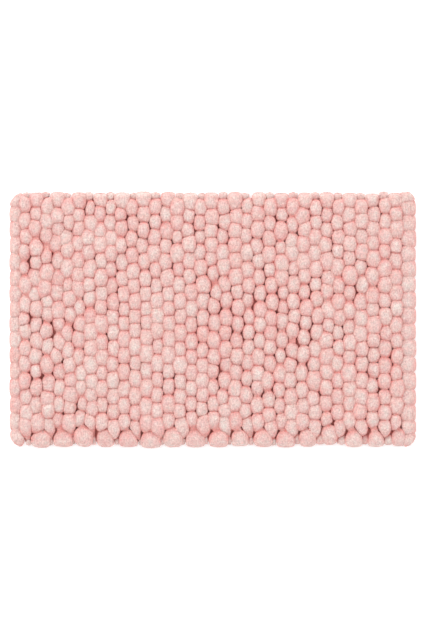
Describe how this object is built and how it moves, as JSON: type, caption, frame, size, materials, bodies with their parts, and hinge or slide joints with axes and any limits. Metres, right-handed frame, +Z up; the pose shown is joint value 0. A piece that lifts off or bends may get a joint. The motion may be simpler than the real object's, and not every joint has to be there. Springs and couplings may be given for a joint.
{
  "type": "bath mat",
  "caption": "Rectangular hand-woven bath mat with a surface of plump pebble-like roving loops in nested rows, on a cloth ground with folded hems and an anti-slip coating.",
  "frame": {"origin": "middle of the underside, on the surface that the mat lies on", "axes": "+X along the mat's length, +Y across its width towards the back edge, +Z up through the pebbles"},
  "size_m": [0.8, 0.5, 0.021],
  "materials": {
    "roving": "matt brushed thick cotton roving, pale pink",
    "cloth": "plain-woven cotton, matt pink",
    "selvedge_cord": "plied cotton cord, matt pink",
    "seam_thread": "spun sewing thread, slight sheen",
    "latex": "matt sprayed latex, off-white",
    "label": "woven satin tape, white, blank"
  },
  "bodies": {
    "root": {"pebble_row_01": "roving", "pebble_row_02": "roving", "pebble_row_03": "roving", "pebble_row_04": "roving", "pebble_row_05": "roving", "pebble_row_06": "roving", "pebble_row_07": "roving", "pebble_row_08": "roving", "pebble_row_09": "roving", "pebble_row_10": "roving", "pebble_row_11": "roving", "pebble_row_12": "roving", "pebble_row_13": "roving", "pebble_row_14": "roving", "pebble_row_15": "roving", "pebble_row_16": "roving", "pebble_row_17": "roving", "pebble_row_18": "roving", "pebble_row_19": "roving", "pebble_row_20": "roving", "pebble_row_21": "roving", "pebble_row_22": "roving", "pebble_row_23": "roving", "pebble_row_24": "roving", "pebble_row_25": "roving", "pebble_row_26": "roving", "pebble_row_27": "roving", "pebble_row_28": "roving", "pebble_row_29": "roving", "pebble_row_30": "roving", "pebble_row_31": "roving", "pebble_row_32": "roving", "pebble_row_33": "roving", "pebble_row_34": "roving", "pebble_row_35": "roving", "pebble_row_36": "roving", "ground_cloth": "cloth", "end_hem_left": "cloth", "end_hem_right": "cloth", "hem_seam_left": "seam_thread", "hem_seam_right": "seam_thread", "selvedge_cord_front": "selvedge_cord", "selvedge_cord_back": "selvedge_cord", "latex_backing": "latex", "care_label": "label"}
  },
  "joints": []
}
